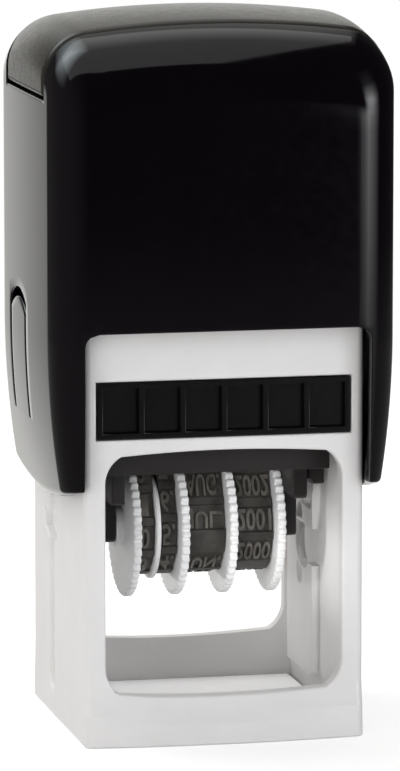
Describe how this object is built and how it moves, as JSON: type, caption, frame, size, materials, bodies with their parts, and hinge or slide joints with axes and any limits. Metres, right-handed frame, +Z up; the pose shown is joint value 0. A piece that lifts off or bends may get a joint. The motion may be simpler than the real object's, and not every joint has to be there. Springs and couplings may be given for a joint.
{
  "type": "self-inking date stamp",
  "caption": "Self-inking date stamp with a press-down cap on an open frame, an ink cartridge, lock buttons and a flipping date unit with toothed thumb wheels.",
  "frame": {"origin": "on the floor under the middle of the frame", "axes": "+Z up, -Y towards the front with the cartridge grip, +X to the right seen from the front"},
  "size_m": [0.0444, 0.0396, 0.0918],
  "materials": {
    "frame_white": "semi-gloss moulded",
    "cartridge_black": "semi-gloss moulded",
    "pad_felt": "ink-soaked felt",
    "cap_gloss": "high gloss",
    "cover_satin": "satin",
    "carrier_dark": "moulded",
    "stamp_rubber": "matt",
    "band_rubber": "matt",
    "wheel_white": "moulded",
    "steel": "drawn wire"
  },
  "bodies": {
    "frame": {"base_frame": "frame_white", "return_spring": "steel"},
    "cartridge": {"ink_tray": "cartridge_black", "ink_pad": "pad_felt"},
    "cap": {"cap_shell": "cap_gloss", "top_cover": "cover_satin", "yoke_bracket": "carrier_dark"},
    "left_button": {"left_lock_button": "cap_gloss"},
    "right_button": {"right_lock_button": "cap_gloss"},
    "date_unit": {"die_carrier": "carrier_dark", "text_plate": "stamp_rubber", "left_flip_pin": "steel", "right_flip_pin": "steel", "wheel_axle": "steel", "day_tens_band": "band_rubber", "day_units_band": "band_rubber", "month_band": "band_rubber", "year_band": "band_rubber", "spacer_disc": "wheel_white", "band_bar": "carrier_dark"},
    "day_tens": {"day_tens_wheel": "wheel_white"},
    "day_units": {"day_units_wheel": "wheel_white"},
    "month": {"month_wheel": "wheel_white"},
    "year": {"year_wheel": "wheel_white"}
  },
  "joints": [
    {"name": "cap_press", "type": "slide", "parent": "frame", "child": "cap", "axis": [0, 0, 1], "range_m": [-0.03, 0], "stiffness_N_per_m": 300, "springref_m": 0.012, "deforming": ["return_spring"]},
    {"name": "date_flip", "type": "hinge", "parent": "cap", "child": "date_unit", "pos_m": [0, 0, 0.03425], "axis": [1, 0, 0], "range_deg": [0, 180]},
    {"name": "day_tens_turn", "type": "hinge", "parent": "date_unit", "child": "day_tens", "pos_m": [0, 0, 0.0252], "axis": [1, 0, 0], "continuous": true},
    {"name": "day_units_turn", "type": "hinge", "parent": "date_unit", "child": "day_units", "pos_m": [0, 0, 0.0252], "axis": [1, 0, 0], "continuous": true},
    {"name": "month_turn", "type": "hinge", "parent": "date_unit", "child": "month", "pos_m": [0, 0, 0.0252], "axis": [1, 0, 0], "continuous": true},
    {"name": "year_turn", "type": "hinge", "parent": "date_unit", "child": "year", "pos_m": [0, 0, 0.0252], "axis": [1, 0, 0], "continuous": true},
    {"name": "cartridge_slide", "type": "slide", "parent": "frame", "child": "cartridge", "axis": [0, -1, 0], "range_m": [0, 0.036]},
    {"name": "left_button_press", "type": "hinge", "parent": "cap", "child": "left_button", "pos_m": [-0.0198, 0.0046, 0.03965], "axis": [0, 1, 0], "range_deg": [0, 4], "stiffness_Nm_per_rad": 0.5},
    {"name": "right_button_press", "type": "hinge", "parent": "cap", "child": "right_button", "pos_m": [0.0198, 0.0046, 0.03965], "axis": [0, -1, 0], "range_deg": [0, 4], "stiffness_Nm_per_rad": 0.5}
  ],
  "couplings": [
    {"joint": "date_flip", "follows": "cap_press", "rad_per_m": -104.72}
  ]
}
